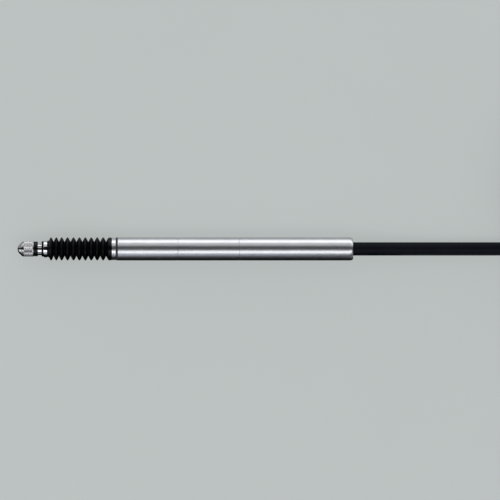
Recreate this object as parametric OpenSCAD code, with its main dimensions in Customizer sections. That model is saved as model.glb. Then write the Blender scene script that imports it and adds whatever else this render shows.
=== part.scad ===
// Digital gauge probe: a slim plunger-type measuring head with a rubber bellows.
// It lies along X on the plane z = 0, tip towards -X and cable towards +X.
// Stations are distances along the axis from the foremost point of the tip, in millimetres.

/* [Contact point] */
// Radius of the carbide nose where it touches the work
nose_r = 2.2; // [1.4:0.1:2.8]
// Radius that blends the 45 degree flank into the barrel
shoulder_r = 1.2; // [0.6:0.1:1.6]
// Diameter of the knurled barrel of the contact holder
holder_d = 5.3; // [4.9:0.1:6]
// Length of the barrel
holder_l = 3.38; // [2.6:0.02:5]
// Bevel at the rear edge of the barrel
holder_bevel = 0.15; // [0.1:0.05:0.4]
// Diameter of the stud that screws into the spindle
stud_d = 2.5; // [2:0.1:2.7]
// Length of the stud inside the spindle
stud_grip = 3.5; // [2.5:0.1:5]
// Diameter of the black cushion ring
ring_d = 5.1; // [4.6:0.1:5.6]
// Width of the cushion ring
ring_l = 1.45; // [0.9:0.05:2]

/* [Spindle] */
// Measuring travel of the spindle
travel = 12; // [6:0.5:13]
// Diameter of the ground spindle
spindle_d = 3.6; // [3.3:0.1:3.8]
// Diameter of the serrated collar behind the cushion ring
neck_d = 4.4; // [4.2:0.1:4.7]
// Length of the serrated collar
neck_l = 1.29; // [1:0.01:2.5]
// Length of the stop collar on the spindle
stop_l = 2; // [1.6:0.1:3]
// Diameter of the pin that keeps the spindle from turning
pin_d = 1; // [0.7:0.1:1.3]

/* [Bellows] */
// Diameter of the rubber lip in front of the front clamp
front_lip_d = 5.3; // [5:0.1:5.6]
// Width of that lip
front_lip_l = 0.7; // [0.3:0.05:0.9]
// Diameter of the front clamp ring
front_clamp_d = 5.85; // [5.6:0.05:6.2]
// Length of the front clamp ring
front_clamp_l = 1.28; // [1.1:0.02:2.5]
// Bellows length between the two clamps at rest
bellows_l = 22.18; // [19:0.02:28]
// Distance from the front clamp to the first fold
front_lead = 1.26; // [0.9:0.02:1.4]
// Number of sharp folds in front of the rear cuff
fold_count = 10; // [8:1:12]
// Diameter over the folds
crest_d = 7.95; // [7:0.05:8]
// Diameter at the bottom of the folds
valley_d = 4.9; // [4.8:0.05:5.6]
// How far forward the third fold sits from an even spacing
fold_squeeze = 0.36; // [0:0.02:0.5]
// Radial thickness of the folded rubber
rubber_t = 0.42; // [0.3:0.02:0.46]
// Diameter of the front collar of the bellows
collar_d = 5.7; // [5.4:0.05:6]
// Flat length of the rear cuff
cuff_l = 0.9; // [0.6:0.05:1.5]
// Diameter of the rear clamp ring
rear_clamp_d = 7.68; // [7.3:0.02:7.9]
// Length of the rear clamp ring
rear_clamp_l = 1.5; // [1:0.1:2.5]
// Thickness of the rubber gasket in front of the stem
gasket_l = 0.57; // [0.4:0.01:1]

/* [Stem and tubes] */
// Diameter of the stem and of both tubes behind it
stem_d = 8; // [7.9:0.1:8.6]
// Wall of the three tubes
tube_wall = 0.5; // [0.3:0.05:0.55]
// Length of the stem
stem_l = 20.8; // [17:0.1:30]
// Length of the middle tube
middle_l = 21.2; // [18:0.1:30]
// Length of the rear tube
rear_l = 39.2; // [37:0.1:60]
// Bevel on each side of a seam between tubes
seam_bevel = 0.1; // [0.05:0.01:0.2]
// Length of the rounding of the rear edge
rear_edge_l = 1.3; // [0.6:0.1:1.4]
// How far that rounding draws in from the tube's surface
rear_edge_drop = 0.6; // [0.3:0.1:1.2]
// Thickness of the rear wall
rear_wall = 1.5; // [1.4:0.1:2.5]

/* [Ball guide] */
// Diameter of the guide balls
ball_d = 0.8; // [0.7:0.05:0.9]
// Length of the ball cage
cage_l = 9; // [7:0.1:9.5]
// Wall of the ball cage
cage_wall = 0.45; // [0.3:0.05:0.5]
// Number of rings of balls
ball_rows = 7; // [4:1:8]
// Number of balls in each ring, an even number
balls_per_row = 6; // [4:2:8]
// Length of the front lip of the bearing sleeve
lip_l = 1.6; // [1:0.1:2]
// Diameter of the spigot that carries the rear clamp ring
spigot_d = 6; // [5.9:0.05:6.2]

/* [Return spring] */
// Wire diameter of the return spring
wire_d = 0.4; // [0.3:0.02:0.46]
// Mean diameter of the return spring
spring_d = 4.8; // [4.6:0.05:5]
// Number of turns of the return spring
spring_turns = 11; // [7:1:14]

/* [Reading unit] */
// Width of the scale carrier
carrier_w = 2.8; // [2.4:0.1:3]
// Thickness of the scale carrier
carrier_t = 1.6; // [1.2:0.1:1.8]
// Width of the magnetic scale
scale_w = 2; // [1.4:0.1:2.3]
// Thickness of the magnetic scale
scale_t = 0.4; // [0.2:0.05:0.5]
// Length of the reading head
head_l = 2; // [1.5:0.1:3]
// Air gap between scale and reading head
air_gap = 0.3; // [0.2:0.05:0.4]
// Thickness of the reading head
head_t = 0.8; // [0.5:0.05:0.9]
// Length of the circuit board
board_l = 21; // [15:0.5:22]
// Width of the circuit board
board_w = 4; // [3.8:0.1:4.2]
// Thickness of the circuit board
board_t = 0.5; // [0.4:0.05:0.6]
// Diameter of one insulated conductor
lead_d = 0.45; // [0.3:0.05:0.6]

/* [Cable and plug] */
// Diameter of the cable
cable_d = 4.6; // [4:0.1:4.7]
// Length of the bush that holds the cable in the rear tube
bush_l = 9.7; // [9:0.1:12]
// Length of the crimped ferrule
ferrule_l = 4; // [3:0.1:5]
// Straight length of the runs of the hank
hank_run = 82; // [70:1:92]
// Layers of cable in the hank
hank_layers = 4; // [3:1:5]
// Width of the strap round the hank
strap_w = 10; // [6:1:14]
// Thickness of the strap
strap_t = 0.8; // [0.5:0.1:1.2]
// Diameter of the moulded plug body
plug_d = 12; // [11:0.5:14]
// Length of the moulded plug body
plug_l = 24; // [20:0.5:30]
// Diameter of the metal nose of the plug
plug_nose_d = 9.6; // [9:0.1:10.5]
// Length of the metal nose in front of the body
plug_nose_l = 9; // [7:0.5:12]
// Number of contact pins round the middle pin
pin_count = 7; // [5:1:8]

/* [Fits] */
// Radial clearance of pieces that are pressed or glued together
seat_gap = 0.02; // [0.01:0.005:0.03]
// Radial running clearance of the ball guide
run_gap = 0.02; // [0.01:0.005:0.04]
// Clearance between faces that meet at the stops
stop_gap = 0.05; // [0.02:0.01:0.1]
// Clearance round pieces that move past each other without touching
free_gap = 0.3; // [0.2:0.05:0.35]

/* [Hidden] */
turned_fn = 96;
bore_fn = 48;
ball_fn = 24;

// How far a cut reaches past the face that it opens
overcut = 1;

// Outer stations, in order from the tip to the rear face
flank_offset = nose_r * (sqrt(2) - 1);
nose_l = holder_d / 2 - flank_offset + shoulder_r * tan(22.5);
ring_s = nose_l + holder_l;
neck_s = ring_s + ring_l;
front_lip_s = neck_s + neck_l;
front_clamp_s = front_lip_s + front_lip_l;
bellows_s = front_clamp_s + front_clamp_l;
rear_clamp_s = bellows_s + bellows_l;
gasket_s = rear_clamp_s + rear_clamp_l;
stem_s = gasket_s + gasket_l;
middle_s = stem_s + stem_l;
rear_s = middle_s + middle_l;
body_l = rear_s + rear_l;

// Radii that several pieces share
stem_r = stem_d / 2;
bore_r = stem_r - tube_wall;
core_r = bore_r - seat_gap;
spindle_r = spindle_d / 2;
spigot_r = spigot_d / 2;
stud_r = stud_d / 2;
cable_r = cable_d / 2;
axis_z = stem_r;

// Contact point
spigot_depth = 1;
tip_spigot_r = 0.9;
knurl_count = 36;
knurl_depth = 0.08;
knurl_relief = 0.03;
plain_lip = 0.1;
stud_end_gap = 0.5;
neck_teeth = 20;
neck_depth = 0.05;

// Bellows
clamp_ring_wall = 0.55;
clamp_bevel = 0.12;
bellows_neck_r = front_clamp_d / 2 - clamp_ring_wall;
first_crest_s = bellows_s + front_lead;
cuff_s = bellows_s + bellows_l - cuff_l;
cuff_r = rear_clamp_d / 2;
tight_folds = 2;
tight_end_s = first_crest_s + (cuff_s - first_crest_s) * tight_folds / fold_count - fold_squeeze;
tip_roundness = 0.24;
samples_per_fold = 12;
gasket_inset = 0.05;

// Ball guide
race_r = spindle_r + ball_d + 2 * run_gap;
ball_orbit_r = spindle_r + run_gap + ball_d / 2;
lip_r = spindle_r + 2 * run_gap;
sleeve_s = cuff_s + stop_gap;
race_s = sleeve_s + lip_l;
cage_end_gap = 0.6;
cage_s = race_s + cage_end_gap;
cage_pitch = cage_l / ball_rows;
sleeve_end_s = cage_s + cage_l + travel / 2 + cage_end_gap;

// Spindle stop and turning guard
washer_l = 0.5;
stop_s = sleeve_end_s + washer_l + stop_gap;
stop_end_s = stop_s + stop_l;
pin_s = stop_s + stop_l / 2;
guide_wall = 0.48;
pin_gap = 0.1;
guide_bore_r = core_r - guide_wall;
stop_r = guide_bore_r - pin_gap;
slot_w = pin_d + pin_gap;
spindle_overhang = 0.7;
spindle_end_s = stop_end_s + spindle_overhang;
tail_r = 1.1;
tail_l = 3;
boss_l = 4;

// Reading unit
holder_overlap = 2.6;
holder_s = rear_s - holder_overlap;
head_setback = 9;
head_s = holder_s + head_setback;
scale_margin = 1;
scale_s = head_s - travel - scale_margin;
scale_end_s = head_s + head_l + scale_margin;
carrier_lip = 0.5;
carrier_end_s = scale_end_s + carrier_lip;
carrier_top = 0.6;
scale_top = carrier_top + scale_t;
board_z = scale_top + air_gap + head_t;
board_lead = 3.5;
board_s = head_s - board_lead;
board_end_s = board_s + board_l;
channel_w = carrier_w + 2 * free_gap;
channel_bottom = carrier_top - carrier_t - free_gap;
board_slot_gap = 0.5;

// Start on the board, length, width and height of each chip
CHIPS = [[1.5, 3, 2.2, 0.35], [6.5, 3.5, 2.2, 0.35], [11.5, 1, 1.8, 0.3], [14, 1, 1.8, 0.3]];

// Conductors between the board and the cable
lead_count = 4;
lead_pitch = 0.7;
lead_row_low = -0.4;
lead_row_step = 1.4;
lead_pad_l = 2;
lead_bend_l = 0.4;
lead_stub_l = 0.8;

// Cable end inside the rear tube
wall_s = body_l - rear_wall;
bush_s = wall_s - bush_l;
cable_hole_r = cable_r + stop_gap;
bush_end_wall = 2;
ferrule_seat_s = wall_s - bush_end_wall;
ferrule_s = ferrule_seat_s - ferrule_l;
jacket_stub = 0.6;
jacket_s = ferrule_s - jacket_stub;
ferrule_wall = 0.65;
bush_min_wall = 0.52;
ferrule_r = min(cable_r + ferrule_wall, core_r - bush_min_wall);
crimp_depth = 0.15;
crimp_half_l = 0.8;
crimp_flank_l = 0.2;
bush_cup_r = ferrule_r + stop_gap;

// Cable route from the rear face to the hank, and from the hank to the plug
CABLE_ROUTE = [
    [64, 0, 4], [70, 0, 3.8], [76, 0, 3.2], [82, 0, 2.6], [88, 0, 2.3],
    [98, 0, 2.3], [108, 0, 2.3], [118, 0, 2.3], [124, 0, 2.3]
];
TAIL_ROUTE = [
    [158, 0, 16.1], [164, 0.1, 16.8], [169, 0.5, 18.4], [174, 1, 20.6],
    [179, 1.6, 22.7], [184, 1.9, 24], [189, 2, 24.4], [194, 2, 24.4]
];
cable_sides = 10;
hank_x = 112;
hank_y = 18.4;
fold_r = 13.8;
hank_cols = 2;
hank_r = fold_r + (hank_cols - 0.5) * cable_d;
hank_h = hank_layers * cable_d;
hank_mid_x = hank_x + hank_r + hank_run / 2;
strap_x = 146;

// Plug, lying on the hank along its near run
plug_tail = TAIL_ROUTE[len(TAIL_ROUTE) - 1];
boot_l = 8;
boot_wall = 1.1;
boot_r = cable_r + boot_wall;
boot_flare = 0.8;
shoulder_l = 3;
flute_count = 12;
flute_r = 0.8;
flute_offset = 0.35;
flute_s = plug_l - 9;
flute_l = 7;
shell_wall = 0.6;
shell_seat_s = plug_l - 6;
shell_bevel = 0.3;
insert_recess = 2.6;
pin_socket_l = 2;
pin_setback = 0.4;
pin_r = 0.5;
pin_circle_r = 2.7;

// Helpers

// Points along an arc, in degrees, in the plane of an outline
function arc(cx, cy, r, a0, a1, n) =
    [for (i = [0:n]) let (a = a0 + (a1 - a0) * i / n) [cx + r * cos(a), cy + r * sin(a)]];

// Distance from a corner at v = 0 that is rounded off
function rounded_corner(v) = sqrt(v * v + tip_roundness * tip_roundness) - tip_roundness;

// Radius of the outer skin of the bellows, with a rounded crest at each whole number of folds
function fold_r_at(u) =
    crest_d / 2 - (crest_d - valley_d) / 2 * rounded_corner(u - round(u)) / rounded_corner(0.5);

// Station of a number of folds behind the first crest; the first folds are closer together
function fold_station(u) = u < tight_folds
    ? first_crest_s + (tight_end_s - first_crest_s) * u / tight_folds
    : tight_end_s + (cuff_s - tight_end_s) * (u - tight_folds) / (fold_count - tight_folds);

function unit(v) = v / norm(v);

// Direction of a route at its point i
function heading(route, i) = unit(route[min(i + 1, len(route) - 1)] - route[max(i - 1, 0)]);

// One ring of points round a route that is nowhere vertical
function route_ring(route, i, r, sides) =
    let (t = heading(route, i), side = unit(cross(t, [0, 0, 1])), up = cross(side, t))
    [for (k = [0:sides - 1]) let (a = 360 * k / sides) route[i] + r * (cos(a) * side + sin(a) * up)];

// Closed skin through a list of rings that have the same number of points
module skin(rings) {
    sides = len(rings[0]);
    last = len(rings) - 1;
    walls = [
        for (i = [0:last - 1]) for (k = [0:sides - 1])
        let (a = i * sides + k, b = i * sides + (k + 1) % sides) [a, a + sides, b + sides, b]
    ];
    near = [for (k = [0:sides - 1]) k];
    far = [for (k = [sides - 1:-1:0]) last * sides + k];
    polyhedron(points = [for (ring = rings) for (p = ring) p], faces = concat(walls, [near, far]));
}

// Round bar along a route
module rope(route, r, sides) {
    skin([for (i = [0:len(route) - 1]) route_ring(route, i, r, sides)]);
}

// Puts a solid drawn upright at the origin on the axis of the probe, its base at a station
module at_station(s) {
    translate([s - body_l / 2, 0, axis_z]) rotate([0, 90, 0]) children();
}

// Body turned round the axis from an outline of radius and station
module turned(outline) {
    at_station(0) rotate_extrude($fn = turned_fn) polygon(outline);
}

// Plain ring round the axis between two stations
module ring_piece(r0, r1, s0, s1) {
    turned([[r0, s0], [r1, s0], [r1, s1], [r0, s1]]);
}

// Tube piece with a bevel at each end
module seamed_tube(s0, s1, front_bevel, rear_bevel) {
    turned([
        [bore_r, s0], [stem_r - front_bevel, s0], [stem_r, s0 + front_bevel],
        [stem_r, s1 - rear_bevel], [stem_r - rear_bevel, s1], [bore_r, s1]
    ]);
}

// Box between two stations, centred across, with heights counted from the axis
module block(s0, s1, width, z0, z1) {
    translate([s0 - body_l / 2, -width / 2, axis_z + z0]) cube([s1 - s0, width, z1 - z0]);
}

// Upright serrated bar: straight teeth round a circle
module serrated_bar(r, depth, teeth, length) {
    linear_extrude(length)
        polygon([
            for (k = [0:2 * teeth - 1])
            let (a = 180 * k / teeth, q = r - depth * (k % 2)) [q * cos(a), q * sin(a)]
        ]);
}

// Contact point

module contact_tip() {
    r = holder_d / 2;
    end_s = nose_l + spigot_depth;
    outline = concat(
        arc(0, nose_r, nose_r, -90, -45, 12),
        arc(r - shoulder_r, nose_l, shoulder_r, -45, 0, 10),
        [[tip_spigot_r, nose_l], [tip_spigot_r, end_s], [0, end_s]]
    );
    color([0.42, 0.42, 0.43]) turned(outline);
}

module contact_holder() {
    r = holder_d / 2;
    plain_l = 2 * holder_bevel + plain_lip;
    stud_end_s = neck_s + stud_grip;
    hole_r = tip_spigot_r + seat_gap;
    hole_end_s = nose_l + spigot_depth;
    color([0.68, 0.68, 0.69]) difference() {
        union() {
            at_station(nose_l)
                serrated_bar(r - knurl_relief, knurl_depth, knurl_count, holder_l - plain_l);
            turned([
                [0, ring_s - plain_l], [r, ring_s - plain_l], [r, ring_s - holder_bevel],
                [r - holder_bevel, ring_s], [stud_r, ring_s], [stud_r, stud_end_s], [0, stud_end_s]
            ]);
        }
        ring_piece(0, hole_r, nose_l - overcut, hole_end_s);
    }
}

module cushion_ring() {
    round_r = 0.25;
    r = ring_d / 2;
    outline = concat(
        [[stud_r + seat_gap, ring_s]],
        arc(r - round_r, ring_s + round_r, round_r, -90, 0, 6),
        arc(r - round_r, neck_s - round_r, round_r, 0, 90, 6),
        [[stud_r + seat_gap, neck_s]]
    );
    color([0.03, 0.03, 0.035]) turned(outline);
}

// Spindle and what moves with it

module spindle() {
    hole_r = stud_r + seat_gap;
    hole_end_s = neck_s + stud_grip + stud_end_gap;
    tail_s = spindle_end_s + tail_l;
    color([0.72, 0.72, 0.74]) difference() {
        union() {
            at_station(neck_s) rotate([0, 0, 180 / neck_teeth])
                serrated_bar(neck_d / 2, neck_depth, neck_teeth, neck_l);
            turned([
                [0, neck_s + neck_l / 2], [spindle_r, neck_s + neck_l / 2], [spindle_r, spindle_end_s],
                [tail_r, spindle_end_s], [tail_r, tail_s], [0, tail_s]
            ]);
        }
        ring_piece(0, hole_r, neck_s - overcut, hole_end_s);
    }
}

module bellows_front_clamp() {
    r = front_clamp_d / 2;
    bore = bellows_neck_r + seat_gap;
    color([0.8, 0.8, 0.82]) turned([
        [bore, front_clamp_s], [r - clamp_bevel, front_clamp_s], [r, front_clamp_s + clamp_bevel],
        [r, bellows_s - clamp_bevel], [r - clamp_bevel, bellows_s], [bore, bellows_s]
    ]);
}

module stop_collar() {
    bevel = 0.2;
    bore = spindle_r + seat_gap;
    color([0.6, 0.61, 0.63]) difference() {
        turned([
            [bore, stop_s], [stop_r - bevel, stop_s], [stop_r, stop_s + bevel],
            [stop_r, stop_end_s - bevel], [stop_r - bevel, stop_end_s], [bore, stop_end_s]
        ]);
        translate([pin_s - body_l / 2, 0, axis_z - stop_r - overcut])
            cylinder(r = pin_d / 2 + seat_gap, h = stop_r + overcut, $fn = bore_fn);
    }
}

module guide_pin() {
    reach = bore_r - pin_gap;
    root = spindle_r + seat_gap;
    color([0.75, 0.75, 0.77]) translate([pin_s - body_l / 2, 0, axis_z - reach])
        cylinder(r = pin_d / 2, h = reach - sqrt(root * root + pin_d * pin_d / 4), $fn = bore_fn);
}

module scale_carrier() {
    boss_end_s = spindle_end_s + boss_l;
    color([0.55, 0.56, 0.58]) difference() {
        union() {
            ring_piece(0, spindle_r, spindle_end_s, boss_end_s);
            block(boss_end_s - carrier_lip, carrier_end_s, carrier_w, carrier_top - carrier_t, carrier_top);
        }
        ring_piece(0, tail_r + seat_gap, spindle_end_s - overcut, spindle_end_s + tail_l);
    }
}

module magnetic_scale() {
    color([0.2, 0.19, 0.19]) block(scale_s, scale_end_s, scale_w, carrier_top, scale_top);
}

// Ball guide

// Places children at every ball of the guide, pointing outwards along +Z
module each_ball() {
    for (row = [0:ball_rows - 1]) for (k = [0:balls_per_row - 1])
        translate([cage_s + cage_pitch * (row + 0.5) - body_l / 2, 0, axis_z])
            rotate([360 / balls_per_row * (k + (row % 2) / 2), 0, 0])
                translate([0, 0, ball_orbit_r]) children();
}

module ball_cage() {
    inner_r = ball_orbit_r - cage_wall / 2;
    color([0.78, 0.62, 0.3]) difference() {
        ring_piece(inner_r, inner_r + cage_wall, cage_s, cage_s + cage_l);
        each_ball() cylinder(r = ball_d / 2 + run_gap, h = cage_wall * 3, center = true, $fn = ball_fn);
    }
}

module bearing_balls() {
    color([0.85, 0.85, 0.87]) each_ball() sphere(d = ball_d, $fn = ball_fn);
}

module bearing_sleeve() {
    color([0.66, 0.67, 0.7]) turned([
        [lip_r, sleeve_s], [spigot_r, sleeve_s], [spigot_r, stem_s], [core_r, stem_s],
        [core_r, sleeve_end_s], [race_r, sleeve_end_s], [race_r, race_s], [lip_r, race_s]
    ]);
}

// Bellows and its clamps

module bellows() {
    steps = fold_count * samples_per_fold;
    front = [
        for (i = [-samples_per_fold / 2:-1]) let (u = i / samples_per_fold, s = fold_station(u))
        if (s > bellows_s) [max(collar_d / 2, fold_r_at(u)), s]
    ];
    folds = [
        for (i = [0:steps]) let (u = i / samples_per_fold, r = fold_r_at(u))
        [u > fold_count - 0.5 ? min(r, cuff_r) : r, fold_station(u)]
    ];
    inside = [
        for (i = [steps:-1:0]) let (u = i / samples_per_fold)
        [fold_r_at(u) - rubber_t, fold_station(u)]
    ];
    grip_r = spindle_r + seat_gap;
    mouth_r = spigot_r + seat_gap;
    color([0.04, 0.04, 0.045]) turned(concat(
        [[grip_r, front_lip_s], [front_lip_d / 2, front_lip_s], [front_lip_d / 2, front_clamp_s],
            [bellows_neck_r, front_clamp_s], [bellows_neck_r, bellows_s], [collar_d / 2, bellows_s]],
        front,
        folds,
        [[cuff_r, rear_clamp_s], [mouth_r, rear_clamp_s], [mouth_r, cuff_s]],
        inside,
        [[grip_r, first_crest_s - front_lead / 2]]
    ));
}

module bellows_rear_clamp() {
    r = rear_clamp_d / 2;
    bore = spigot_r + seat_gap;
    bevel = 0.12;
    groove = 0.08;
    mid_s = rear_clamp_s + rear_clamp_l / 2;
    color([0.82, 0.82, 0.84]) turned([
        [bore, rear_clamp_s], [r - bevel, rear_clamp_s], [r, rear_clamp_s + bevel],
        [r, mid_s - groove], [r - groove, mid_s], [r, mid_s + groove],
        [r, gasket_s - bevel], [r - bevel, gasket_s], [bore, gasket_s]
    ]);
}

module gasket_ring() {
    color([0.07, 0.07, 0.09])
        ring_piece(spigot_r + seat_gap, stem_r - gasket_inset, gasket_s, stem_s);
}

// Stem and tubes

module stem_tube() {
    color([0.74, 0.74, 0.76]) seamed_tube(stem_s, middle_s, seam_bevel, seam_bevel);
}

module middle_tube() {
    color([0.72, 0.72, 0.74]) seamed_tube(middle_s, rear_s, seam_bevel, seam_bevel);
}

module rear_tube() {
    outline = concat(
        [[bore_r, rear_s], [stem_r - seam_bevel, rear_s], [stem_r, rear_s + seam_bevel]],
        [for (p = arc(0, 0, 1, 0, 90, 12))
            [stem_r - rear_edge_drop * (1 - p[0]), body_l - rear_edge_l * (1 - p[1])]],
        [[cable_hole_r, body_l], [cable_hole_r, wall_s], [bore_r, wall_s]]
    );
    color([0.73, 0.73, 0.75]) turned(outline);
}

// Spindle stop, turning guard and spring

module stop_washer() {
    color([0.15, 0.13, 0.12])
        ring_piece(spindle_r + free_gap, guide_bore_r - seat_gap, sleeve_end_s, sleeve_end_s + washer_l);
}

module guide_sleeve() {
    slot_s = pin_s - slot_w / 2;
    slot_end_s = pin_s + travel + slot_w / 2 + stop_gap;
    color([0.5, 0.52, 0.55]) difference() {
        ring_piece(guide_bore_r, core_r, sleeve_end_s, holder_s);
        block(slot_s, slot_end_s, slot_w, -stem_r, 0);
    }
}

module return_spring() {
    sides = 6;
    steps = 16;
    wire_r = wire_d / 2;
    start_s = stop_end_s + wire_r + stop_gap;
    rise = holder_s - wire_r - stop_gap - start_s;
    color([0.7, 0.7, 0.72]) at_station(start_s) skin([
        for (i = [0:spring_turns * steps])
        let (a = 360 * i / steps, z = rise * i / (spring_turns * steps))
        [for (k = [0:sides - 1]) let (b = 360 * k / sides, q = spring_d / 2 + wire_r * cos(b))
            [q * cos(a), q * sin(a), z + wire_r * sin(b)]]
    ]);
}

// Reading unit

module sensor_holder() {
    color([0.12, 0.13, 0.14]) difference() {
        ring_piece(0, core_r, holder_s, bush_s);
        block(holder_s - overcut, bush_s + overcut, channel_w, channel_bottom, board_z);
        block(board_s - board_slot_gap, bush_s + overcut, stem_d, board_z, stem_r);
    }
}

module sensor_head() {
    head_w = channel_w - 2 * free_gap;
    color([0.05, 0.05, 0.05]) block(head_s, head_s + head_l, head_w, board_z - head_t, board_z);
}

module circuit_board() {
    color([0.05, 0.3, 0.15]) block(board_s, board_end_s, board_w, board_z, board_z + board_t);
}

module board_chips() {
    chip_z = board_z + board_t;
    color([0.08, 0.08, 0.09]) for (c = CHIPS)
        block(board_s + c[0], board_s + c[0] + c[1], c[2], chip_z, chip_z + c[3]);
}

module lead_wires() {
    lead_r = lead_d / 2;
    pad_z = board_z + board_t + lead_r;
    mid_s = (board_end_s + jacket_s) / 2;
    color([0.8, 0.2, 0.15]) for (k = [0:lead_count - 1]) {
        y = (k - (lead_count - 1) / 2) * lead_pitch;
        end_z = lead_row_low + (k % 2) * lead_row_step;
        stations = [
            [board_end_s - lead_pad_l, pad_z], [board_end_s + lead_bend_l, pad_z],
            [mid_s, (pad_z + end_z) / 2], [jacket_s - lead_stub_l, end_z], [jacket_s, end_z]
        ];
        rope([for (p = stations) [p[0] - body_l / 2, y, p[1] + axis_z]], lead_r, 6);
    }
}

// Cable end

module cable_bush() {
    color([0.1, 0.1, 0.11]) turned([
        [bush_cup_r, bush_s], [core_r, bush_s], [core_r, wall_s],
        [cable_hole_r, wall_s], [cable_hole_r, ferrule_seat_s], [bush_cup_r, ferrule_seat_s]
    ]);
}

module crimp_ferrule() {
    bore = cable_r + stop_gap;
    waist_r = ferrule_r - crimp_depth;
    waist_half_l = crimp_half_l - crimp_flank_l;
    mid_s = ferrule_s + ferrule_l / 2;
    color([0.75, 0.6, 0.35]) turned([
        [bore, ferrule_s], [ferrule_r, ferrule_s], [ferrule_r, mid_s - crimp_half_l],
        [waist_r, mid_s - waist_half_l], [waist_r, mid_s + waist_half_l],
        [ferrule_r, mid_s + crimp_half_l],
        [ferrule_r, ferrule_seat_s], [bore, ferrule_seat_s]
    ]);
}

module cable_run() {
    start = [jacket_s - body_l / 2, 0, axis_z];
    rear = [body_l / 2, 0, axis_z];
    color([0.05, 0.05, 0.06]) rope(concat([start, rear], CABLE_ROUTE), cable_r, cable_sides);
}

module cable_tail() {
    color([0.05, 0.05, 0.06]) rope(TAIL_ROUTE, cable_r, cable_sides);
}

// Hank of cable with its strap

module hank_outline() {
    square([hank_run, 2 * hank_r], center = true);
    for (side = [-1, 1]) translate([side * hank_run / 2, 0]) circle(r = hank_r, $fn = turned_fn);
}

module strap_zone() {
    translate([strap_x - strap_w / 2, hank_y - hank_r - overcut, -overcut])
        cube([strap_w, 2 * (hank_r + overcut), hank_h + 2 * overcut]);
}

module hank_block() {
    translate([hank_mid_x, hank_y, 0]) linear_extrude(hank_h) hank_outline();
}

module cable_hank() {
    color([0.06, 0.06, 0.07]) {
        difference() {
            hank_block();
            strap_zone();
        }
        translate([0, 0, strap_t]) intersection() {
            hank_block();
            strap_zone();
        }
    }
}

module hank_strap() {
    inner_r = hank_r + seat_gap;
    color([0.1, 0.1, 0.1]) difference() {
        translate([strap_x - strap_w / 2, hank_y - inner_r - strap_t, 0])
            cube([strap_w, 2 * (inner_r + strap_t), hank_h + 2 * strap_t + seat_gap]);
        translate([strap_x - strap_w / 2 - overcut, hank_y - inner_r, strap_t])
            cube([strap_w + 2 * overcut, 2 * inner_r, hank_h + seat_gap]);
    }
}

// Plug

// Upright solid put at the rear of the plug, pointing along +X
module on_plug() {
    translate(plug_tail) rotate([0, 90, 0]) children();
}

module plug_body() {
    r = plug_d / 2;
    round_r = 1;
    color([0.07, 0.07, 0.08]) on_plug() difference() {
        rotate_extrude($fn = turned_fn) polygon(concat(
            [[0, 0], [boot_r, 0], [boot_r + boot_flare, boot_l]],
            arc(r - round_r, boot_l + shoulder_l + round_r, round_r, -45, 0, 5),
            arc(r - round_r, plug_l - round_r, round_r, 0, 90, 8),
            [[0, plug_l]]
        ));
        translate([0, 0, shell_seat_s])
            cylinder(r = plug_nose_d / 2 + seat_gap, h = plug_l - shell_seat_s + overcut, $fn = bore_fn);
        for (k = [0:flute_count - 1]) rotate([0, 0, 360 / flute_count * k])
            translate([r + flute_offset, 0, flute_s]) cylinder(r = flute_r, h = flute_l, $fn = 24);
    }
}

module plug_shell() {
    r = plug_nose_d / 2;
    end = plug_l + plug_nose_l;
    color([0.78, 0.78, 0.8]) on_plug() rotate_extrude($fn = turned_fn) polygon([
        [r - shell_wall, shell_seat_s], [r, shell_seat_s], [r, end - shell_bevel],
        [r - shell_bevel, end], [r - shell_wall, end]
    ]);
}

module plug_insert() {
    r = plug_nose_d / 2 - shell_wall - seat_gap;
    length = plug_l + plug_nose_l - insert_recess - shell_seat_s;
    color([0.13, 0.13, 0.14]) on_plug() translate([0, 0, shell_seat_s]) difference() {
        cylinder(r = r, h = length, $fn = turned_fn);
        each_pin() translate([0, 0, pin_socket_l])
            cylinder(r = pin_r + seat_gap, h = length, $fn = bore_fn);
    }
}

// Places children at every contact pin of the plug
module each_pin() {
    children();
    for (k = [0:pin_count - 1]) rotate([0, 0, 360 / pin_count * k])
        translate([pin_circle_r, 0, 0]) children();
}

module plug_pins() {
    pin_s = shell_seat_s + pin_socket_l;
    pin_l = plug_l + plug_nose_l - pin_setback - pin_s;
    color([0.85, 0.7, 0.35]) on_plug() translate([0, 0, pin_s]) each_pin() {
        cylinder(r = pin_r, h = pin_l - pin_r, $fn = bore_fn);
        translate([0, 0, pin_l - pin_r]) cylinder(r1 = pin_r, r2 = pin_r / 2, h = pin_r, $fn = bore_fn);
    }
}

contact_tip();
contact_holder();
cushion_ring();
spindle();
bellows_front_clamp();
stop_collar();
guide_pin();
scale_carrier();
magnetic_scale();
ball_cage();
bearing_balls();
bellows();
bellows_rear_clamp();
gasket_ring();
stem_tube();
bearing_sleeve();
stop_washer();
guide_sleeve();
return_spring();
middle_tube();
sensor_holder();
sensor_head();
circuit_board();
board_chips();
lead_wires();
rear_tube();
cable_bush();
crimp_ferrule();
cable_run();
cable_hank();
cable_tail();
hank_strap();
plug_body();
plug_shell();
plug_insert();
plug_pins();
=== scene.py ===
"""Looks of a digital gauge probe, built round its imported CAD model.

Lengths are in metres unless they say mm.
"""
import math

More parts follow.
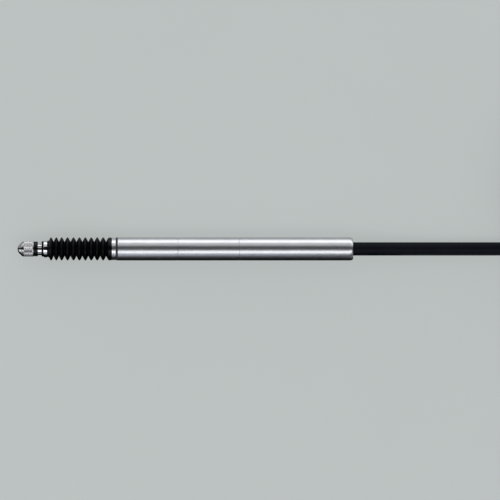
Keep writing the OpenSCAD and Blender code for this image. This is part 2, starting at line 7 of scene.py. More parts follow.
import bpy
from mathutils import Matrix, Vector


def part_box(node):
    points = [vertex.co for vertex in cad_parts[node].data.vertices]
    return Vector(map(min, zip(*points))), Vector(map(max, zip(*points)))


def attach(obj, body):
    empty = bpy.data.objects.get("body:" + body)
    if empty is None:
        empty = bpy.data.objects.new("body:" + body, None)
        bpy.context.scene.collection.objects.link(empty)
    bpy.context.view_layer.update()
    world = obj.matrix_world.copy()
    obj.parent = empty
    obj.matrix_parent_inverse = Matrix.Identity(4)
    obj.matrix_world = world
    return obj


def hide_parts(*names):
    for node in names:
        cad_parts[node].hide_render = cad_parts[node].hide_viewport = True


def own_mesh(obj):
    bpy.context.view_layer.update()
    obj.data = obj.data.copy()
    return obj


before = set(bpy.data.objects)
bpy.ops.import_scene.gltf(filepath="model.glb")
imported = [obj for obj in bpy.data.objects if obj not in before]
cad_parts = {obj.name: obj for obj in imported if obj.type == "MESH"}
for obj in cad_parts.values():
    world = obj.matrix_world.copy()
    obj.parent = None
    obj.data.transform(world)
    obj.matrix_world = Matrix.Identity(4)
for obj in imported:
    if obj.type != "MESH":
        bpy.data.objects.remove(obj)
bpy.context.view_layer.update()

MM = 0.001
# Height of the probe's axis over the floor
AXIS_Z = 4 * MM


def smooth(t):
    """0 below t = 0, 1 above t = 1, and a soft step between."""
    t = min(1.0, max(0.0, t))
    return t * t * (3 - 2 * t)


# Camera: straight down on the probe, as in the photograph

VIEW_CENTRE = (22.334 * MM, -0.38 * MM)
VIEW_WIDTH = 172.5 * MM
CAMERA_RANGE = 3.0
CAMERA_CLIP = (0.01, 20)
SENSOR = 36.0


def add_camera():
    """Long lens high above the probe."""
    data = bpy.data.cameras.new("camera")
    data.sensor_width = SENSOR
    data.lens = SENSOR * CAMERA_RANGE / VIEW_WIDTH
    data.clip_start, data.clip_end = CAMERA_CLIP
    camera = bpy.data.objects.new("camera", data)
    camera.location = (*VIEW_CENTRE, AXIS_Z + CAMERA_RANGE)
    bpy.context.scene.collection.objects.link(camera)
    bpy.context.scene.camera = camera


# Materials

# How tool marks run: round the probe's axis, round an upright axis, along the probe, or in no direction
TURNED = (1, 40, 40)
TURNED_UPRIGHT = (40, 40, 1)
DRAWN = (40, 1, 1)
EVEN = (1, 1, 1)

# Darkest and lightest colour
STEEL = ((0.643, 0.66, 0.69), (0.703, 0.72, 0.75))
BRIGHT = ((0.76, 0.76, 0.78), (0.84, 0.84, 0.86))
BRASS = ((0.62, 0.43, 0.16), (0.72, 0.52, 0.22))
BLACK = ((0.0008, 0.0008, 0.001), (0.002, 0.002, 0.0025))
MOULDED = ((0.012, 0.012, 0.014), (0.02, 0.02, 0.022))


class Graph:
    """A Principled material, whose helpers add nodes and return the socket that carries their result."""

    def __init__(self, name, **values):
        self.material = bpy.data.materials.new(name)
        self.material.use_nodes = True
        self.tree = self.material.node_tree
        self.tree.nodes.clear()
        self.shader = self.node("BsdfPrincipled", values)
        self.tree.links.new(self.shader.outputs["BSDF"], self.node("OutputMaterial").inputs["Surface"])
        self.place = self.node("TexCoord").outputs["Object"]

    def node(self, kind, values=None, **settings):
        """New node. values holds what its inputs are set to, or the sockets that they are linked to."""
        made = self.tree.nodes.new("ShaderNode" + kind)
        for key, value in settings.items():
            setattr(made, key, value)
        for key, value in (values or {}).items():
            if isinstance(value, bpy.types.NodeSocket):
                self.tree.links.new(value, made.inputs[key])
            else:
                made.inputs[key].default_value = value
        return made

    def drive(self, socket, source):
        """Link source to a socket of the shader."""
        self.tree.links.new(source, self.shader.inputs[socket])

    def noise(self, size, stretch=EVEN, detail=3.0, shift=0.0):
        """Noise from 0 to 1 with features of that size; stretch makes them longer along an axis."""
        scale = [1 / (size * s) for s in stretch]
        at = self.node("Mapping", {"Vector": self.place, "Scale": scale, "Location": (shift, shift, shift)})
        return self.node("TexNoise", {"Vector": at.outputs[0], "Scale": 1.0, "Detail": detail}).outputs[0]

    def remap(self, source, low, high, start=0.3, end=0.7):
        """low where source is start or less, high where it is end or more, and in step between."""
        values = {0: source, 1: start, 2: end, 3: low, 4: high}
        return self.node("MapRange", values).outputs[0]

    def mix(self, source, a, b):
        """Colour a where source is 0 and b where it is 1."""
        made = self.node("Mix", data_type="RGBA")
        for socket, value in ((made.inputs[0], source), (made.inputs[6], a), (made.inputs[7], b)):
            if isinstance(value, bpy.types.NodeSocket):
                self.tree.links.new(value, socket)
            else:
                socket.default_value = (*value, 1.0)
        return made.outputs[2]

    def math(self, operation, a, b=0.0):
        """Result of one Math node."""
        return self.node("Math", {0: a, 1: b}, operation=operation).outputs[0]

    def relief(self, height, depth, strength=1.0, under=None):
        """Normal of a surface whose height runs over that depth, on top of the normal under."""
        values = {"Height": height, "Distance": depth, "Strength": strength}
        if under is not None:
            values["Normal"] = under
        return self.node("Bump", values).outputs[0]

    def axis_distance(self):
        """Distance of a point from the probe's axis."""
        apart = self.node("SeparateXYZ", {0: self.place})
        side, up = apart.outputs[1], self.math("SUBTRACT", apart.outputs[2], AXIS_Z)
        both = self.math("ADD", self.math("MULTIPLY", up, up), self.math("MULTIPLY", side, side))
        return self.math("SQRT", both)


def metal(name, dark, light, rough, marks=(0.05 * MM, EVEN), depth=0.6e-6, patch=4 * MM):
    """Machined metal. rough is (least, most); marks is (size, stretch) of its tool marks."""
    g = Graph(name, Metallic=1.0)
    lines = g.noise(*marks, detail=4.0)
    cloud = g.noise(patch, detail=4.0, shift=3.1)
    spots = g.noise(0.25 * MM, detail=2.0, shift=7.7)
    g.drive("Base Color", g.mix(g.remap(cloud, 0.0, 1.0), dark, light))
    g.drive("Roughness", g.math("ADD", g.remap(lines, *rough), g.remap(spots, -0.02, 0.02)))
    g.drive("Normal", g.relief(lines, depth))
    return g.material


def plastic(name, dark, light, rough, grain=0.08 * MM, depth=2e-6, patch=3 * MM, specular=0.5):
    """Moulded plastic or rubber with a fine grain. rough is (least, most)."""
    g = Graph(name, **{"Specular IOR Level": specular})
    skin = g.noise(grain)
    cloud = g.noise(patch, detail=4.0, shift=5.3)
    g.drive("Base Color", g.mix(g.remap(cloud, 0.0, 1.0), dark, light))
    g.drive("Roughness", g.remap(g.math("MULTIPLY", g.math("ADD", skin, cloud), 0.5), *rough))
    g.drive("Normal", g.relief(skin, depth))
    return g.material


def bellows_rubber(cuff):
    """Black rubber, dull on the folds and smoother on the rear cuff, which starts at x = cuff."""
    dull, dusty, clean = (0.0006, 0.0006, 0.0008), (0.0018, 0.0018, 0.0022), (0.0008, 0.0008, 0.0011)
    dust_ends = (3.2 * MM, 3.95 * MM)
    g = Graph("bellows_rubber", **{"Specular Tint": (0.93, 0.97, 1.15, 1.0)})
    skin = g.noise(0.06 * MM)
    cloud = g.noise(2.5 * MM, detail=4.0, shift=2.2)
    tip = g.remap(g.axis_distance(), 0.0, 1.0, *dust_ends)
    dust = g.mix(g.remap(cloud, 0.0, 1.0), dull, dusty)
    g.drive("Base Color", g.mix(tip, dust, clean))
    along = g.node("SeparateXYZ", {0: g.place}).outputs[0]
    behind = g.remap(along, 0.0, 1.0, cuff - 0.4 * MM, cuff)
    g.drive("Specular IOR Level", g.remap(behind, 0.15, 0.24, 0.0, 1.0))
    g.drive("Roughness", g.math("ADD", g.remap(behind, 0.0, -0.2, 0.0, 1.0), g.remap(skin, 0.41, 0.51)))
    g.drive("Normal", g.relief(skin, 2.5e-6))
    return g.material


def woven_strap():
    """Plain weave of a flat black tape: ribs across the tape with finer threads between them."""
    dark, light = (0.008, 0.008, 0.009), (0.035, 0.035, 0.038)
    g = Graph("strap_fabric", **{"Specular IOR Level": 0.25, "Sheen Weight": 0.3, "Sheen Roughness": 0.4})
    ribs = {"Vector": g.place, "Scale": 900.0, "Distortion": 0.4}
    warp = g.node("TexWave", ribs, bands_direction="X")
    weft = g.node("TexWave", {**ribs, "Scale": 620.0}, bands_direction="DIAGONAL")
    threads = g.math("MULTIPLY", warp.outputs[1], weft.outputs[1])
    fibre = g.noise(0.05 * MM, detail=4.0)
    fuzz = g.math("ADD", g.math("MULTIPLY", threads, 0.7), g.math("MULTIPLY", fibre, 0.3))
    g.drive("Base Color", g.mix(g.remap(fuzz, 0.0, 1.0, 0.1, 0.8), dark, light))
    g.drive("Roughness", g.remap(fibre, 0.7, 0.9))
    g.drive("Normal", g.relief(fuzz, 60e-6, 0.8))
    return g.material


def cable_jacket():
    """Satin black jacket with a faint waviness along its length."""
    dark, light = (0.0027, 0.0038, 0.007), (0.0038, 0.0052, 0.0095)
    g = Graph("cable_jacket", **{"Specular IOR Level": 0.07})
    skin = g.noise(0.05 * MM)
    wave = g.noise(6 * MM, detail=2.0, shift=1.4)
    g.drive("Base Color", g.mix(g.remap(wave, 0.0, 1.0), dark, light))
    g.drive("Roughness", g.math("ADD", g.remap(wave, -0.03, 0.03), g.remap(skin, 0.44, 0.52)))
    g.drive("Normal", g.relief(skin, 1.2e-6, under=g.relief(wave, 25e-6)))
    return g.material


def floor_paper():
    """Pale, matt studio paper."""
    dark, light = (0.115, 0.12, 0.118), (0.12, 0.125, 0.123)
    glow = {"Emission Color": (0.93, 1.0, 0.98, 1.0), "Emission Strength": 0.41}
    g = Graph("floor_paper", Roughness=0.9, **{"Specular IOR Level": 0.0}, **glow)
    tooth = g.noise(1.5 * MM, detail=5.0)
    cloud = g.noise(60 * MM, shift=4.0)
    g.drive("Base Color", g.mix(g.remap(cloud, 0.0, 1.0), dark, light))
    g.drive("Normal", g.relief(tooth, 20e-6, 0.3))
    return g.material


MATERIALS = {
    "contact_tip": metal("carbide", (0.36, 0.36, 0.37), (0.44, 0.44, 0.45), (0.10, 0.18)),
    "contact_holder": metal(
        "knurled_steel", (0.61, 0.61, 0.62), (0.65, 0.65, 0.66), (0.38, 0.42), (0.04 * MM, DRAWN), 0.15e-6
    ),
    "cushion_ring": plastic("cushion_rubber", *BLACK, (0.16, 0.26), depth=0.6e-6, specular=0.2),
    "spindle": metal("spindle_steel", *STEEL, (0.10, 0.20), (0.03 * MM, TURNED)),
    "bellows_front_clamp": metal("front_clamp_steel", *BRIGHT, (0.06, 0.14), (0.03 * MM, TURNED), 0.3e-6),
    "stop_collar": metal("collar_steel", *STEEL, (0.22, 0.34), (0.04 * MM, TURNED)),
    "guide_pin": metal("pin_steel", *BRIGHT, (0.12, 0.2), (0.04 * MM, TURNED_UPRIGHT)),
    "scale_carrier": metal(
        "carrier_alloy", (0.5, 0.51, 0.53), (0.58, 0.59, 0.61), (0.3, 0.42), (0.06 * MM, DRAWN)
    ),
    "magnetic_scale": metal("scale_magnet", (0.10, 0.095, 0.09), (0.14, 0.13, 0.125), (0.35, 0.5)),
    "ball_cage": metal("cage_brass", *BRASS, (0.22, 0.36), (0.05 * MM, TURNED)),
    "bearing_balls": metal("ball_steel", (0.8, 0.8, 0.82), (0.86, 0.86, 0.88), (0.04, 0.09)),
    "bellows_rear_clamp": metal("rear_clamp_steel", *BRIGHT, (0.26, 0.34), (0.03 * MM, TURNED), 0.3e-6),
    "gasket_ring": plastic("gasket_rubber", (0.014, 0.016, 0.024), (0.022, 0.024, 0.034), (0.4, 0.55)),
    "bearing_sleeve": metal("bearing_steel", *STEEL, (0.16, 0.26), (0.03 * MM, TURNED)),
    "stop_washer": plastic("washer_rubber", (0.02, 0.016, 0.014), (0.035, 0.028, 0.024), (0.5, 0.65)),
    "guide_sleeve": metal("guide_steel", *STEEL, (0.26, 0.4), (0.05 * MM, DRAWN)),
    "sensor_holder": plastic("holder_plastic", (0.02, 0.022, 0.024), (0.03, 0.032, 0.035), (0.4, 0.55)),
    "sensor_head": plastic("chip_plastic", *BLACK, (0.35, 0.5), depth=1.5e-6),
    "circuit_board": plastic(
        "board_green", (0.004, 0.05, 0.02), (0.01, 0.09, 0.035), (0.25, 0.4), 0.3 * MM, 3e-6, 0.8 * MM
    ),
    "board_chips": plastic("board_chip_plastic", *BLACK, (0.35, 0.5), depth=1.5e-6),
    "lead_wires": plastic("lead_red", (0.45, 0.02, 0.015), (0.6, 0.04, 0.03), (0.3, 0.4)),
    "cable_bush": plastic("bush_plastic", *MOULDED, (0.35, 0.5)),
    "crimp_ferrule": metal("ferrule_brass", *BRASS, (0.22, 0.36), (0.05 * MM, TURNED)),
    "plug_body": plastic("plug_moulding", *MOULDED, (0.42, 0.58), 0.12 * MM, 6e-6),
    "plug_shell": metal("plug_metal", *BRIGHT, (0.14, 0.24), (0.04 * MM, TURNED)),
    "plug_insert": plastic("plug_insert_plastic", (0.02, 0.02, 0.022), (0.03, 0.03, 0.033), (0.35, 0.5)),
    "plug_pins": metal("pin_gold", (0.8, 0.55, 0.2), (0.9, 0.66, 0.28), (0.12, 0.22), (0.04 * MM, DRAWN)),
}
TUBE_STEEL = metal("tube_steel", *STEEL, (0.28, 0.37), (0.035 * MM, TURNED), 0.5e-6, 7 * MM)
for tube in ("stem_tube", "middle_tube", "rear_tube"):
    MATERIALS[tube] = TUBE_STEEL

# Mesh pieces


def mesh_object(name, points, faces, material):
    """Smooth-shaded object in the scene."""
    data = bpy.data.meshes.new(name)
    data.from_pydata(points, [], faces)
    data.materials.append(material)
    data.shade_smooth()
    made = bpy.data.objects.new(name, data)
    bpy.context.scene.collection.objects.link(made)
    return made


def ring_faces(rings, sides, closed):
    """Quads between neighbouring rings of points; closed joins the last ring to the first."""
    faces = []
    for i in range(rings if closed else rings - 1):
        j = (i + 1) % rings
        for k in range(sides):
            m = (k + 1) % sides
            faces.append((i * sides + k, j * sides + k, j * sides + m, i * sides + m))
    return faces


def end_faces(rings, sides):
    """Caps on the first and the last ring."""
    return [tuple(range(sides - 1, -1, -1)), tuple(range((rings - 1) * sides, rings * sides))]


def lathe(name, outline, material, sides=128, sway=None):
    """Closed ring turned round the probe's axis from a closed outline of (x, radius).

    sway(x, radius, angle) gives what is added to the radius there.
    """
    points = []
    for x, r in outline:
        for k in range(sides):
            a = 2 * math.pi * k / sides
            q = r + (sway(x, r, a) if sway else 0.0)
            points.append((x, q * math.sin(a), AXIS_Z + q * math.cos(a)))
    return mesh_object(name, points, ring_faces(len(outline), sides, True), material)


# Bellows

FOLDS = 10
FOLD_SAMPLES = 20
# From the front clamp to the first crest
FOLD_LEAD = 1.26 * MM
# The first folds sit closer together, by this much in all
TIGHT_FOLDS = 2
FOLD_SQUEEZE = 0.36 * MM
# Rounding of crests and valleys, as a share of a fold
TIP_ROUNDNESS = 0.24
CREST_R = 3.975 * MM
VALLEY_R = 2.45 * MM
RUBBER_T = 0.42 * MM
# Collar in front of the first fold, and the small and the large step that break its front edge
COLLAR_R = 2.85 * MM
COLLAR_BEVEL = (0.04 * MM, 0.12 * MM)
CUFF = 0.9 * MM
CUFF_R = 3.94 * MM
CUFF_ROUND_R = 0.28 * MM
CUFF_ROUND_STEPS = 6
LIP_R = 2.65 * MM
LIP_BEVEL = 0.08 * MM
LIP_SIDES = 96
NECK_R = 2.375 * MM
# What the rubber sits on
SPINDLE_R = 1.8 * MM
SPIGOT_R = 3.0 * MM
FIT = 0.02 * MM
CLAMP_GAP = 0.03 * MM
CUFF_GAP = 0.01 * MM
# Unevenness of the folds, and height and half-width in radians of the mould's line
UNEVEN = 0.008 * MM
SEAM_RISE = 0.02 * MM
SEAM_SPREAD = 0.035


def rounded_corner(v):
    """Distance from a corner at v = 0 that is rounded off."""
    return math.hypot(v, TIP_ROUNDNESS) - TIP_ROUNDNESS


def fold_radius(u):
    """Radius of the outer skin a number of folds behind the first crest."""
    return CREST_R - (CREST_R - VALLEY_R) * rounded_corner(u - round(u)) / rounded_corner(0.5)


def fold_place(u, folded):
    """Distance from the front clamp, for folds that take up that length in all."""
    tight = folded * TIGHT_FOLDS / FOLDS - FOLD_SQUEEZE
    if u < TIGHT_FOLDS:
        return FOLD_LEAD + tight * u / TIGHT_FOLDS
    return FOLD_LEAD + tight + (folded - tight) * (u - TIGHT_FOLDS) / (FOLDS - TIGHT_FOLDS)


def fold_outline(length):
    """Outline of the folds as (distance from the front clamp, radius), up to the cuff."""
    folded = length - FOLD_LEAD
    steps = FOLDS * FOLD_SAMPLES
    small, large = COLLAR_BEVEL
    outer = [
        (CLAMP_GAP, SPINDLE_R + FIT), (CLAMP_GAP, COLLAR_R - large), (CLAMP_GAP + small, COLLAR_R - small),
    ]
    # From half a fold before the first crest, where the skin leaves the collar, to the flank below the cuff
    for i in range(-FOLD_SAMPLES // 2, steps):
        u = i / FOLD_SAMPLES
        r = fold_radius(u)
        if u < 0:
            r = max(COLLAR_R, r)
        elif u > FOLDS - 0.5:
            r = min(CUFF_R, r)
        outer.append((fold_place(u, folded), r))
    outer += [(length - 2 * CUFF_GAP, CUFF_R), (length - CUFF_GAP, CUFF_R)]
    inner = [(length - CUFF_GAP, CREST_R - RUBBER_T)]
    for i in range(steps - 2, -1, -2):
        u = i / FOLD_SAMPLES
        inner.append((fold_place(u, folded), fold_radius(u) - RUBBER_T))
    inner.append((FOLD_LEAD / 2, SPINDLE_R + FIT))
    return outer + inner


def cuff_outline(start, end):
    """Outline of the cuff as (x, radius), with its rear edge rounded."""
    outline = [(start, SPIGOT_R + FIT), (start, CUFF_R), (start + CUFF_GAP, CUFF_R)]
    for i in range(CUFF_ROUND_STEPS + 1):
        a = math.pi / 2 * i / CUFF_ROUND_STEPS
        outline.append((end - CUFF_ROUND_R * (1 - math.sin(a)), CUFF_R - CUFF_ROUND_R * (1 - math.cos(a))))
    return outline + [(end, SPIGOT_R + FIT)]


def lip_outline(start, clamp, end):
    """Outline of the lip and of the neck, which starts at x = clamp, as (x, radius)."""
    edge, middle = LIP_BEVEL, 0.3 * LIP_BEVEL
    return [
        (start, SPINDLE_R + FIT),
        (start, LIP_R - edge), (start + middle, LIP_R - middle), (start + edge, LIP_R),
        (clamp - edge, LIP_R), (clamp - middle, LIP_R - middle), (clamp, LIP_R - edge),
        (clamp, NECK_R), (end, NECK_R), (end, SPINDLE_R + FIT),
    ]


def add_bellows(rubber):
    """Folds in front of the cuff, the cuff itself, and the lip that moves with the spindle."""
    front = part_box("bellows_front_clamp")[1].x
    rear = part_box("bellows_rear_clamp")[0].x
    cuff = rear - CUFF
    length = cuff - front

    def sway(x, r, a):
        """Small unevenness of moulded folds, and the thin line where the mould closes."""
        share = max(0.0, (r - VALLEY_R) / (CREST_R - VALLEY_R))
        fold = round((x - front - FOLD_LEAD) / (length - FOLD_LEAD) * FOLDS)
        # Two waves round the skin, which turn from fold to fold
        uneven = math.sin(2 * a + 1.9 * fold) + 0.6 * math.sin(3 * a + 2.7 * fold)
        off_seam = abs(math.remainder(a - math.pi / 2, math.pi))
        seam = math.exp(-((off_seam / SEAM_SPREAD) ** 2))
        return share * (UNEVEN * uneven + SEAM_RISE * seam)

    outline = [(front + x, r) for x, r in fold_outline(length)]
    bellows = lathe("bellows_skin", outline, rubber, sway=sway)
    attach(bellows, "housing")
    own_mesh(bellows)
    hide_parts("bellows")

    fixed = lathe("bellows_cuff", cuff_outline(cuff, rear), rubber, sway=sway)
    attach(fixed, "housing")
    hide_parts("bellows")

    outline = lip_outline(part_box("bellows")[0].x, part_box("bellows_front_clamp")[0].x, front)
    neck = lathe("bellows_neck", outline, rubber, LIP_SIDES)
    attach(neck, "spindle")
    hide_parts("bellows")


# Return spring

SPRING_R = 2.4 * MM
WIRE_R = 0.2 * MM
SPRING_TURNS = 12
# Closed turns at each end
DEAD_TURNS = 0.8
# Rings in a turn, and points in a ring
TURN_STEPS = 28
WIRE_SIDES = 10


def add_spring(steel):
    """Coil of the return spring, with closed turns at each end."""
    low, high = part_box("return_spring")
    start, end = low.x + WIRE_R, high.x - WIRE_R
    pitch = 2 * WIRE_R
    rise = end - start - 2 * pitch * DEAD_TURNS
    live = SPRING_TURNS - 2 * DEAD_TURNS
    rings = SPRING_TURNS * TURN_STEPS + 1
    points = []
    for i in range(rings):
        turn = i / TURN_STEPS
        dead = min(turn, DEAD_TURNS) + max(0.0, turn - SPRING_TURNS + DEAD_TURNS)
        x = start + dead * pitch + rise * min(1.0, max(0.0, (turn - DEAD_TURNS) / live))
        a = 2 * math.pi * turn
        for k in range(WIRE_SIDES):
            b = 2 * math.pi * k / WIRE_SIDES
            q = SPRING_R + WIRE_R * math.cos(b)
            points.append((x + WIRE_R * math.sin(b), q * math.cos(a), AXIS_Z + q * math.sin(a)))
    faces = ring_faces(rings, WIRE_SIDES, False) + end_faces(rings, WIRE_SIDES)
    spring = mesh_object("coil_spring", points, faces, steel)
    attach(spring, "housing")
    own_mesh(spring)
    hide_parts("return_spring")


# Cable, hank and tail: one cord from the rear face to the plug

CABLE_D = 4.6 * MM
CABLE_IN_TUBE = 2 * MM
# Spacing of the cord's points on its routes, and their number in a lap of the hank
ROUTE_STEP = 2.5 * MM
LAP_STEPS = 132
# The hank: radius of its inner column's bends, length of its straight runs, start, and middle in Y
BEND_R = 13.8 * MM
HANK_RUN = 82 * MM
HANK_START = Vector((132.7, 0, 2.3)) * MM
HANK_Y = 18.4 * MM
HANK_LAPS = 7
# Laps at which the cord starts to move across a column or up a layer, and the share of a lap it takes
SHIFTS = [(0.84, -1), (2.62, 1), (4.40, -1), (6.18, 1)]
CLIMBS = [1.73, 3.51, 5.29]
MOVE_SHARE = 0.10
# Routes in mm: from the rear face to the hank, and from the hank to the plug
CABLE_ROUTE = [
    (64, 0, 4), (70, 0, 3.8), (76, 0, 3.2), (82, 0, 2.6), (88, 0, 2.3),
    (98, 0, 2.3), (108, 0, 2.3), (118, 0, 2.3), (124, 0, 2.3),
]
TAIL_ROUTE = [
    (158, 0, 16.1), (164, 0.1, 16.8), (169, 0.5, 18.4), (174, 1, 20.6),
    (179, 1.6, 22.7), (184, 1.9, 24), (189, 2, 24.4), (194, 2, 24.4),
]
STRAP_LIFT = 0.8 * MM
STRAP_RAMP = 12 * MM


def spline_through(points, gap):
    """Points about a gap apart on a smooth curve through the given ones."""
    ends = [2 * points[0] - points[1]] + points + [2 * points[-1] - points[-2]]
    line = []
    for i in range(1, len(ends) - 2):
        p0, p1, p2, p3 = ends[i - 1 : i + 3]
        steps = max(1, round((p2 - p1).length / gap))
        for k in range(steps):
            t = k / steps
            line.append(
                0.5 * (2 * p1 + (p2 - p0) * t + (2 * p0 - 5 * p1 + 4 * p2 - p3) * t**2
                       + (3 * p1 - p0 - 3 * p2 + p3) * t**3)
            )
    return line + [points[-1]]


def hank_points():
    """The turns of the hank: seven laps in two columns and four layers."""
    mean_r = BEND_R + CABLE_D / 2
    lap = 2 * HANK_RUN + 2 * math.pi * mean_r
    run, bend = HANK_RUN / lap, math.pi * mean_r / lap
    line = []
    for i in range(HANK_LAPS * LAP_STEPS + 1):
        u = i / LAP_STEPS
        column = 1 + sum(way * smooth((u - at) / MOVE_SHARE) for at, way in SHIFTS)
        layer = sum(smooth((u - at) / MOVE_SHARE) for at in CLIMBS)
        r = BEND_R + CABLE_D * column
        v = u % 1
        x, y = HANK_START.x, HANK_Y
        if v < run:
            x, y = x + HANK_RUN * v / run, y - r
        elif v < run + bend:
            a = (v - run) / bend * math.pi
            x, y = x + HANK_RUN + r * math.sin(a), y - r * math.cos(a)
        elif v < 2 * run + bend:
            x, y = x + HANK_RUN - HANK_RUN * (v - run - bend) / run, y + r
        else:
            a = (v - 2 * run - bend) / bend * math.pi
            x, y = x - r * math.sin(a), y + r * math.cos(a)
        line.append(Vector((x, y, HANK_START.z + CABLE_D * layer)))
    return line


def strap_lift(x, low, high):
    """How far the strap's lower layer holds the cord off the floor."""
    before, after = (x - low + STRAP_RAMP) / STRAP_RAMP, (high + STRAP_RAMP - x) / STRAP_RAMP
    return STRAP_LIFT * smooth(before) * smooth(after)


def add_cord(jacket):
    """The whole cable as one round cord."""
    rear = Vector((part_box("rear_tube")[1].x, 0, AXIS_Z))
    inside = rear - Vector((CABLE_IN_TUBE, 0, 0))
    run = [inside, rear] + [Vector(p) * MM for p in CABLE_ROUTE] + [HANK_START]
    hank = hank_points()
    tail = [hank[-1]] + [Vector(p) * MM for p in TAIL_ROUTE]
    line = spline_through(run, ROUTE_STEP)[:-1] + hank[:-1] + spline_through(tail, ROUTE_STEP)
    low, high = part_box("hank_strap")
    for p in line:
        if p.x > low.x - STRAP_RAMP:
            p.z += strap_lift(p.x, low.x, high.x)
    data = bpy.data.curves.new("cord", "CURVE")
    data.dimensions = "3D"
    data.bevel_depth = CABLE_D / 2
    data.bevel_resolution = 5
    data.use_fill_caps = True
    spline = data.splines.new("POLY")
    spline.points.add(len(line) - 1)
    for at, p in zip(spline.points, line):
        at.co = (*p, 1)
    spline.use_smooth = True
    data.materials.append(jacket)
    cord = bpy.data.objects.new("cable", data)
    bpy.context.scene.collection.objects.link(cord)
    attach(cord, "housing")
    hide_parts("cable_run", "cable_hank", "cable_tail")


# Strap round the hank

STRAP_T = 0.8 * MM
# Width of the tape's rounded edges, and points across each
STRAP_EDGE = 0.45 * STRAP_T
EDGE_STEPS = 4
STRAP_CORNER = 2.7 * MM
CORNER_STEPS = 12
# Dip of the strap's upper run between the hank's two sides
STRAP_SAG = 0.5 * MM
TOP_STEPS = 24
# The free end on top of the loop, a little narrower than it
TAB_START = 2 * MM
TAB_LENGTH = 17 * MM
TAB_INSET = 0.2 * MM
TAB_LIFT = 0.98 * STRAP_T


def band(name, line, normals, x0, x1, closed, material):
    """Flat tape along a line in the plane of Y and Z, from x0 to x1 wide, with rounded edges."""
    profile = []
    for side, x in ((-1, x0), (1, x1)):
        for k in range(EDGE_STEPS + 1):
            a = math.pi * k / EDGE_STEPS
            profile.append((x + side * STRAP_EDGE * (math.sin(a) - 1), -side * STRAP_T / 2 * math.cos(a)))
    points = [
        (x, p[0] + n[0] * out, p[1] + n[1] * out)
        for p, n in zip(line, normals)
        for x, out in profile
    ]
    rings, sides = len(line), len(profile)
    faces = ring_faces(rings, sides, closed)
    if not closed:
        faces += end_faces(rings, sides)
    return mesh_object(name, points, faces, material)


def add_strap(fabric):
    """Loop of tape round the hank, and its free end on top."""
    low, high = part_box("hank_strap")
    y0, y1 = low.y + STRAP_T / 2, high.y - STRAP_T / 2
    z0, z1 = low.z + STRAP_T / 2, high.z - STRAP_T / 2
    left, right = y0 + STRAP_CORNER, y1 - STRAP_CORNER
    bottom, top = z0 + STRAP_CORNER, z1 - STRAP_CORNER

    def dip(share):
        """How far the upper run hangs down, for a share of the way between the corners."""
        return STRAP_SAG * math.sin(math.pi * min(1.0, max(0.0, share))) ** 2

    line, normals = [], []
    for cy, cz, start in ((right, top, 0), (left, top, 90), (left, bottom, 180), (right, bottom, 270)):
        for k in range(CORNER_STEPS + 1):
            a = math.radians(start + 90 * k / CORNER_STEPS)
            normals.append((math.cos(a), math.sin(a)))
            line.append((cy + STRAP_CORNER * math.cos(a), cz + STRAP_CORNER * math.sin(a)))
        if start == 0:
            for k in range(1, TOP_STEPS):
                t = k / TOP_STEPS
                line.append((right + (left - right) * t, z1 - dip(t)))
                normals.append((0.0, 1.0))
    strap = band("strap_loop", line, normals, low.x, high.x, True, fabric)

    line = []
    for k in range(TOP_STEPS + 1):
        y = y0 + TAB_START + TAB_LENGTH * k / TOP_STEPS
        line.append((y, z1 + TAB_LIFT - dip((right - y) / (right - left))))
    normals = [(0.0, 1.0)] * len(line)
    tab = band("strap_tab", line, normals, low.x + TAB_INSET, high.x - TAB_INSET, False, fabric)
    for o in (strap, tab):
        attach(o, "housing")
        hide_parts("hank_strap")
    return [strap, tab]


# Studio: floor, lights, room, and cards on the floor that are seen only in reflections

FLOOR_HALF = 3.0
FLOOR_Z = -0.05 * MM
# Distance of the lights from the probe's axis, and their length
STRIP_RANGE = 0.6
STRIP_LENGTH = 3.0
# Heights of the cards: the upper one lies over a corner of the dark card beside the probe
CARD_Z = 0.15 * MM
UPPER_CARD_Z = 0.2 * MM
CARD_BLACK = ((0.001, 0.001, 0.001), (0.002, 0.002, 0.002))
CARD_WHITE = ((0.2, 0.2, 0.2), (0.22, 0.22, 0.22))
# Corners of the cards ahead of the nose, which widen away from it
NOSE_DARK = [
    (-0.061, -0.0004), (-0.14, -0.004), (-3.0, -0.05), (-3.0, 0.5), (-0.14, 0.016), (-0.061, 0.0014),
]
NOSE_LIGHT = [
    (-0.068, -0.0055), (-0.078, -0.013), (-0.12, -0.03), (-0.4, -0.08), (-0.4, -0.035), (-0.12, -0.0115),
]
# Colour and strength of the room's light on matt surfaces, and in reflections
ROOM_MATT = ((0.95, 0.98, 1.0, 1), 0.5)
ROOM_GLOSSY = ((0.8, 0.95, 1.3, 1), 0.007)


def rectangle(x0, x1, y0, y1):
    """Corners of a rectangle along X and Y."""
    return [(x0, y0), (x1, y0), (x1, y1), (x0, y1)]


def flat_piece(name, corners, z, material):
    """One flat face at height z."""
    return mesh_object(name, [(x, y, z) for x, y in corners], [tuple(range(len(corners)))], material)


def add_floor():
    """Sheet of paper under everything."""
    corners = rectangle(-FLOOR_HALF, FLOOR_HALF, -FLOOR_HALF, FLOOR_HALF)
    floor = flat_piece("floor", corners, FLOOR_Z, floor_paper())


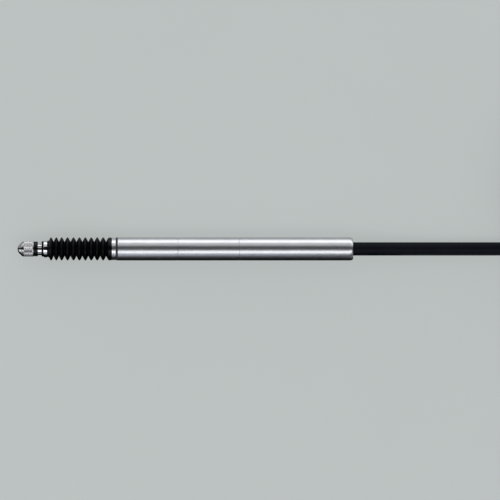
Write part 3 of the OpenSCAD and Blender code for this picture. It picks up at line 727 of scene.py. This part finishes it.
def add_strip(name, angle, spread, radiance, middle=0.0, tint=(1.0, 1.0, 1.0)):
    """Long soft light beside the probe, with its middle at x = middle.

    angle and spread are in degrees, seen from the axis; angle is from straight up and towards +Y.
    """
    data = bpy.data.lights.new(name, "AREA")
    data.shape = "RECTANGLE"
    data.size = STRIP_LENGTH
    data.size_y = 2 * STRIP_RANGE * math.tan(math.radians(spread / 2))
    data.energy = radiance * math.pi * data.size * data.size_y
    data.color = tint
    light = bpy.data.objects.new(name, data)
    a = math.radians(angle)
    light.location = (middle, STRIP_RANGE * math.sin(a), AXIS_Z + STRIP_RANGE * math.cos(a))
    light.rotation_euler = (-a, 0, 0)
    bpy.context.scene.collection.objects.link(light)


def add_card(name, corners, glow=0.0, z=CARD_Z):
    """Card that is seen only in reflections: black, or white with a glow."""
    looks = {"Emission Strength": glow, "Emission Color": (1.0, 1.0, 1.0, 1.0)} if glow else {}
    g = Graph(name + "_paint", Roughness=1.0, **{"Specular IOR Level": 0.0}, **looks)
    g.drive("Base Color", g.mix(g.noise(5 * MM), *(CARD_WHITE if glow else CARD_BLACK)))
    card = flat_piece(name, corners, z, g.material)
    for kind in ("camera", "diffuse", "transmission", "volume_scatter", "shadow"):
        setattr(card, "visible_" + kind, False)


def add_cards():
    """Dark and light cards beside the probe, and a dark and a light one ahead of its nose."""
    add_card("side_dark", rectangle(-0.075, 0.075, -0.45, -0.001))
    add_card("side_light", rectangle(-0.06, 0.11, 0.006, 0.03), glow=0.2)
    add_card("far_light", rectangle(-0.065, 0.2, 0.03, 0.5), glow=0.9)
    add_card("nose_dark", NOSE_DARK)
    add_card("nose_light", NOSE_LIGHT, glow=1.5, z=UPPER_CARD_Z)


def set_world():
    """Even room light: bright for matt surfaces, dim in reflections."""
    world = bpy.data.worlds.new("room")
    bpy.context.scene.world = world
    world.use_nodes = True
    tree = world.node_tree
    tree.nodes.clear()
    path = tree.nodes.new("ShaderNodeLightPath")
    both = tree.nodes.new("ShaderNodeMixShader")
    out = tree.nodes.new("ShaderNodeOutputWorld")
    tree.links.new(path.outputs["Is Glossy Ray"], both.inputs[0])
    for socket, (colour, strength) in ((1, ROOM_MATT), (2, ROOM_GLOSSY)):
        light = tree.nodes.new("ShaderNodeBackground")
        light.inputs[0].default_value, light.inputs[1].default_value = colour, strength
        tree.links.new(light.outputs[0], both.inputs[socket])
    tree.links.new(both.outputs[0], out.inputs[0])


add_camera()
for node, material in MATERIALS.items():
    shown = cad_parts[node]
    shown.data.materials.clear()
    shown.data.materials.append(material)
add_bellows(bellows_rubber(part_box("bellows_rear_clamp")[0].x - CUFF))
add_spring(metal("spring_steel", *STEEL, (0.2, 0.32)))
straps = add_strap(woven_strap())
add_cord(cable_jacket())
add_floor()
add_strip("panel", angle=80, spread=30, radiance=1.85)
add_strip("panel_fill", angle=46, spread=30, radiance=0.62)
add_strip("strip", angle=-31.5, spread=26, radiance=1.8, middle=-0.7)
add_strip("strip_fill", angle=-62, spread=28, radiance=0.54, middle=-1.465, tint=(0.92, 0.99, 1.1))
add_cards()
set_world()
bpy.context.scene.view_settings.view_transform = "Standard"
